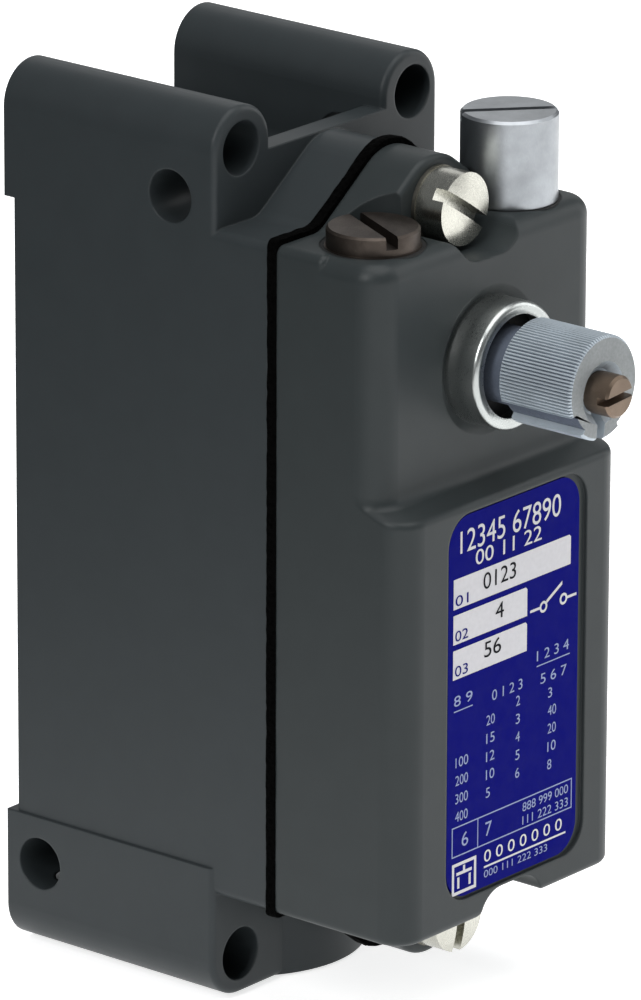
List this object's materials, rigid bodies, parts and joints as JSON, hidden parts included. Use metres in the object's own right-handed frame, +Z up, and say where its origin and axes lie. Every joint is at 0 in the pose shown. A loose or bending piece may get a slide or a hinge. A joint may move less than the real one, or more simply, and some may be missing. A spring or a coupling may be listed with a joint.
{
  "type": "limit switch",
  "caption": "Box-shaped industrial limit switch with a turning serrated shaft on the front, a spring-return plunger under a tall cap, and a snap contact block inside.",
  "frame": {"origin": "centre of the four-hole bolt pattern, on the mounting plane at the back", "axes": "+Z up the case towards the caps, +Y out of the back into the machine, +X to the right as seen from the front"},
  "size_m": [0.045, 0.0828, 0.1194],
  "materials": {
    "housing_enamel": "satin grey enamel on a die casting",
    "cover_enamel": "satin grey enamel on a die casting",
    "gasket_foam": "matt black foam",
    "label_print": "printed plate, white lettering",
    "screw_zinc": "bright zinc plate",
    "washer_steel": "bright zinc plate",
    "cap_bronze": "dark brown oxide",
    "cap_zinc": "satin zinc plate",
    "seal_rubber": "matt",
    "cup_nickel": "bright nickel plate",
    "bushing_bronze": "sintered bronze",
    "plate_steel": "zinc plate",
    "moulding_black": "phenolic moulding",
    "moulding_tan": "phenolic moulding",
    "contact_brass": "brass strip",
    "terminal_nickel": "nickel plate",
    "ground_green": "green plate",
    "shaft_steel": "satin zinc plate",
    "expander_bronze": "dark brown oxide",
    "cam_steel": "hardened steel",
    "spring_steel": "spring wire"
  },
  "bodies": {
    "housing": {"rear_housing": "housing_enamel", "cover_gasket": "gasket_foam", "front_cover": "cover_enamel", "nameplate": "label_print", "cover_screws": "screw_zinc", "cover_washers": "washer_steel", "low_cap": "cap_bronze", "tall_cap": "cap_zinc", "cap_seals": "seal_rubber", "seal_cup": "cup_nickel", "shaft_seal": "seal_rubber", "shaft_bushing": "bushing_bronze", "bearing_plate": "plate_steel", "plate_screws": "plate_steel", "contact_base": "moulding_black", "contact_cover": "moulding_tan", "block_screws": "plate_steel", "ground_screw": "ground_green", "closed_contacts": "contact_brass", "open_contacts": "contact_brass", "terminal_saddles": "terminal_nickel", "terminal_screws": "terminal_nickel", "return_spring": "spring_steel", "carrier_spring": "spring_steel"},
    "shaft": {"operating_shaft": "shaft_steel", "expander_screw": "expander_bronze", "drive_cam": "cam_steel", "cam_pin": "cam_steel", "thrust_washer": "cam_steel", "retaining_ring": "spring_steel", "crank_disc": "cam_steel", "crank_pin": "cam_steel"},
    "plunger": {"return_plunger": "cam_steel"},
    "carrier": {"contact_carrier": "moulding_black", "moving_bridge": "contact_brass", "contact_springs": "spring_steel"}
  },
  "joints": [
    {"name": "shaft_turn", "type": "hinge", "parent": "housing", "child": "shaft", "pos_m": [0, -0.054, 0.02775], "axis": [0, -1, 0], "range_deg": [0, 40], "stiffness_Nm_per_rad": 0.4, "springref_deg": -20.05},
    {"name": "plunger_slide", "type": "slide", "parent": "housing", "child": "plunger", "axis": [0, 0, 1], "range_m": [0, 0.00698], "deforming": ["return_spring"]},
    {"name": "carrier_slide", "type": "slide", "parent": "housing", "child": "carrier", "axis": [0, 0, 1], "range_m": [0, 0.00274], "deforming": ["carrier_spring"]}
  ],
  "couplings": [
    {"joint": "plunger_slide", "follows": "shaft_turn", "m_per_rad": 0.01},
    {"joint": "carrier_slide", "follows": "shaft_turn", "m_per_rad": 0.0039248}
  ]
}
